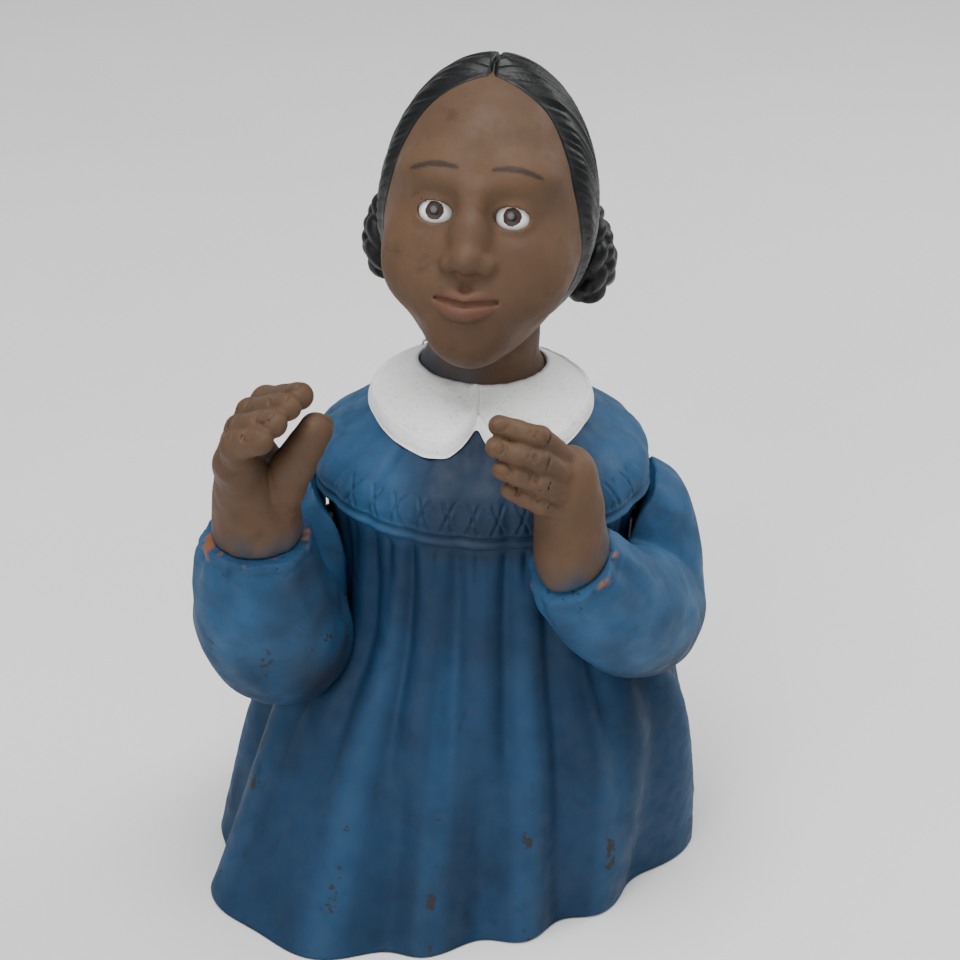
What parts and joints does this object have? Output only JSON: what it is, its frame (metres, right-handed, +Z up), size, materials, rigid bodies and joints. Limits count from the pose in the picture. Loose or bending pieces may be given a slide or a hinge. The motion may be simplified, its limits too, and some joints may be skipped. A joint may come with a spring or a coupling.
{
  "type": "mechanical bank",
  "caption": "Painted cast-iron half figure of a girl in a smocked dress; a lever behind lifts both arms and nods the head, coins drop in a slot in the back and out of a twist trap.",
  "frame": {"origin": "on the surface that the bank stands on, on the base plate's underside in front of the coin trap, below the neck's front edge", "axes": "+Z up; the dress faces -Y; +X is the figure's own left; the lever and the coin slot are at +Y"},
  "size_m": [0.1192, 0.1034, 0.1863],
  "materials": {
    "dress_blue": "worn satin paint over cast iron",
    "collar_white": "worn matt paint over cast iron",
    "skin_brown": "worn satin paint over cast iron",
    "hair_black": "satin black paint over cast iron",
    "eye_white": "gloss enamel",
    "steel": "turned, slightly dull",
    "brass": "dull",
    "iron_black": "blackened, as cast"
  },
  "bodies": {
    "bank": {"front_shell": "dress_blue", "back_shell": "dress_blue", "collar": "collar_white", "neck_ring": "iron_black", "base_plate": "iron_black", "coin_chute": "steel", "lever_pin": "steel", "body_screw_right": "steel", "body_screw_left": "steel", "base_screw_front_right": "steel", "base_screw_front_left": "steel", "base_screw_back_right": "steel", "base_screw_back_left": "steel", "collar_screw_right": "steel", "collar_screw_left": "steel", "chute_screw_right": "steel", "chute_screw_left": "steel"},
    "arms": {"arm_shaft": "steel", "lever_finger": "iron_black", "nod_crank": "iron_black", "crank_pin": "steel", "right_sleeve": "dress_blue", "left_sleeve": "dress_blue", "right_hand": "skin_brown", "left_hand": "skin_brown", "arm_pin_right": "steel", "arm_pin_left": "steel", "hand_pin_right": "steel", "hand_pin_left": "steel"},
    "head": {"face_shell": "skin_brown", "hair_shell": "hair_black", "right_bun": "hair_black", "left_bun": "hair_black", "neck_tube": "skin_brown", "neck_axle": "steel", "nod_fork": "iron_black"},
    "eyes": {"right_eye": "eye_white", "left_eye": "eye_white", "eye_shaft": "steel", "eye_weight": "brass"},
    "lever": {"press_lever": "iron_black"},
    "trap": {"coin_trap": "iron_black"}
  },
  "joints": [
    {"name": "arms_raise", "type": "hinge", "parent": "bank", "child": "arms", "pos_m": [0, -0.004, 0.086], "axis": [-1, 0, 0], "range_deg": [0, 14]},
    {"name": "head_nod", "type": "hinge", "parent": "bank", "child": "head", "pos_m": [0, 0.002, 0.1135], "axis": [1, 0, 0], "range_deg": [0, 7]},
    {"name": "eyes_roll", "type": "hinge", "parent": "head", "child": "eyes", "pos_m": [-0.00423, -0.01425, 0.16001], "axis": [0.9613, -0.2756, 0], "range_deg": [-10, 10]},
    {"name": "lever_press", "type": "hinge", "parent": "bank", "child": "lever", "pos_m": [0.02, 0.01, 0.082], "axis": [-1, 0, 0], "range_deg": [0, 18.5]},
    {"name": "trap_twist", "type": "hinge", "parent": "bank", "child": "trap", "pos_m": [0, 0.024, 0], "axis": [0, 0, 1], "range_deg": [0, 90]}
  ],
  "couplings": [
    {"joint": "head_nod", "follows": "arms_raise", "ratio": 0.4966},
    {"joint": "lever_press", "follows": "arms_raise", "ratio": 1.3}
  ]
}
